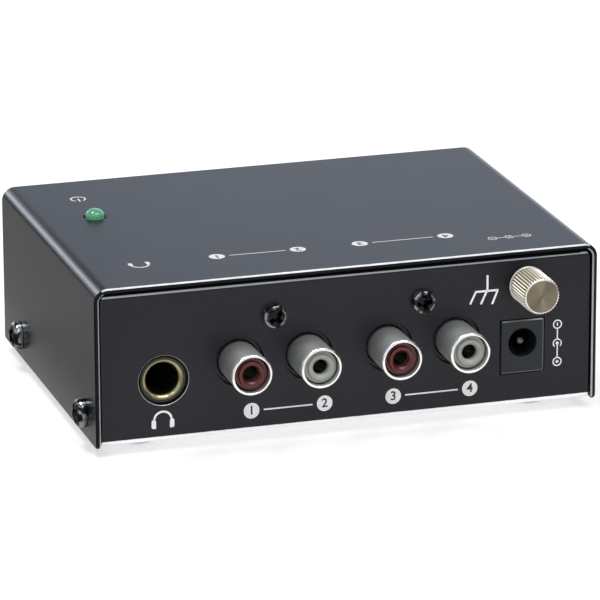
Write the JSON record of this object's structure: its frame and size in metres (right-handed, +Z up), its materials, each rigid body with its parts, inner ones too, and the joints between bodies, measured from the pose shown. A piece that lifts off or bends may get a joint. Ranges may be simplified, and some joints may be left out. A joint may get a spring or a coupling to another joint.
{
  "type": "headphone amplifier",
  "caption": "Small desktop headphone amplifier in a folded steel case, with a headphone socket, two pairs of phono sockets, a power inlet and an earth thumb screw",
  "frame": {"origin": "centre of the outer box, at the underside of the feet", "axes": "+X right seen from the connector side, +Y from the connector panel to the rear, +Z up"},
  "size_m": [0.1084, 0.0834, 0.0368],
  "materials": {
    "cover_paint": "satin black powder coat, fine grain",
    "chassis_paint": "satin black powder coat, fine grain",
    "foot_rubber": "matt black stick-on rubber",
    "case_screw": "blackened steel, polished by handling",
    "board_fibre": "green solder resist on glass fibre",
    "board_fixing": "zinc-plated steel",
    "black_moulding": "matt black moulding",
    "inlet_moulding": "dark grey moulding",
    "gilt_ferrule": "thin gilt plating on turned brass",
    "spring_bronze": "rolled phosphor bronze",
    "satin_nickel": "satin nickel plating",
    "red_moulding": "dark red moulding",
    "white_moulding": "off-white moulding",
    "turned_brass": "turned and knurled brass",
    "wire_cover": "green wire insulation",
    "green_lens": "clear green lens",
    "can_sleeve": "shrunk dark sleeve"
  },
  "bodies": {
    "case": {"top_cover": "cover_paint", "base_chassis": "chassis_paint", "foot_front_left": "foot_rubber", "foot_front_right": "foot_rubber", "foot_rear_left": "foot_rubber", "foot_rear_right": "foot_rubber", "cover_screw_front_left": "case_screw", "cover_screw_front_right": "case_screw", "cover_screw_rear_left": "case_screw", "cover_screw_rear_right": "case_screw", "panel_screw_left": "case_screw", "panel_screw_right": "case_screw", "circuit_board": "board_fibre", "pillar_front_left": "board_fixing", "pillar_front_right": "board_fixing", "pillar_rear_left": "board_fixing", "pillar_rear_right": "board_fixing", "board_screw_front_left": "board_fixing", "board_screw_front_right": "board_fixing", "board_screw_rear_left": "board_fixing", "board_screw_rear_right": "board_fixing", "headphone_jack_body": "black_moulding", "line_out_block": "black_moulding", "phono_in_block": "black_moulding", "amplifier_chip_left": "black_moulding", "amplifier_chip_right": "black_moulding", "voltage_regulator": "black_moulding", "led_spacer": "black_moulding", "dc_inlet_body": "inlet_moulding", "headphone_jack_ferrule": "gilt_ferrule", "line_out_left_contact": "spring_bronze", "line_out_right_contact": "spring_bronze", "phono_in_left_contact": "spring_bronze", "phono_in_right_contact": "spring_bronze", "line_out_left_shell": "satin_nickel", "line_out_right_shell": "satin_nickel", "phono_in_left_shell": "satin_nickel", "phono_in_right_shell": "satin_nickel", "dc_inlet_pin": "satin_nickel", "earth_bush": "satin_nickel", "earth_lug": "satin_nickel", "earth_nut": "satin_nickel", "line_out_right_core": "red_moulding", "phono_in_right_core": "red_moulding", "line_out_left_core": "white_moulding", "phono_in_left_core": "white_moulding", "earth_wire": "wire_cover", "power_led": "green_lens", "capacitor_front_left": "can_sleeve", "capacitor_front_right": "can_sleeve", "capacitor_rear_left": "can_sleeve", "capacitor_rear_right": "can_sleeve"},
    "earth_washer": {"earth_washer": "satin_nickel"},
    "earth_thumb_screw": {"earth_thumb_screw": "turned_brass"},
    "headphone_tip_contact": {"headphone_tip_contact": "spring_bronze"},
    "headphone_ring_contact": {"headphone_ring_contact": "spring_bronze"},
    "dc_inlet_spring": {"dc_inlet_spring": "spring_bronze"}
  },
  "joints": [
    {"name": "earth_screw_advance", "type": "slide", "parent": "case", "child": "earth_washer", "axis": [0, -1, 0], "range_m": [0, 0.0021]},
    {"name": "earth_screw_turn", "type": "hinge", "parent": "earth_washer", "child": "earth_thumb_screw", "pos_m": [0.0373, -0.03265, 0.0277], "axis": [0, -1, 0], "range_deg": [0, 1085]},
    {"name": "headphone_tip_flex", "type": "hinge", "parent": "case", "child": "headphone_tip_contact", "pos_m": [-0.0337, -0.00735, 0.0151], "axis": [0, 0, 1], "range_deg": [0, 5], "stiffness_Nm_per_rad": 0.15},
    {"name": "headphone_ring_flex", "type": "hinge", "parent": "case", "child": "headphone_ring_contact", "pos_m": [-0.0423, -0.01335, 0.0151], "axis": [0, 0, -1], "range_deg": [0, 5], "stiffness_Nm_per_rad": 0.15},
    {"name": "power_contact_flex", "type": "hinge", "parent": "case", "child": "dc_inlet_spring", "pos_m": [0.03645, -0.02335, 0.012], "axis": [1, 0, 0], "range_deg": [0, 5], "stiffness_Nm_per_rad": 0.15}
  ],
  "couplings": [
    {"joint": "earth_screw_turn", "follows": "earth_screw_advance", "rad_per_m": 8976}
  ]
}
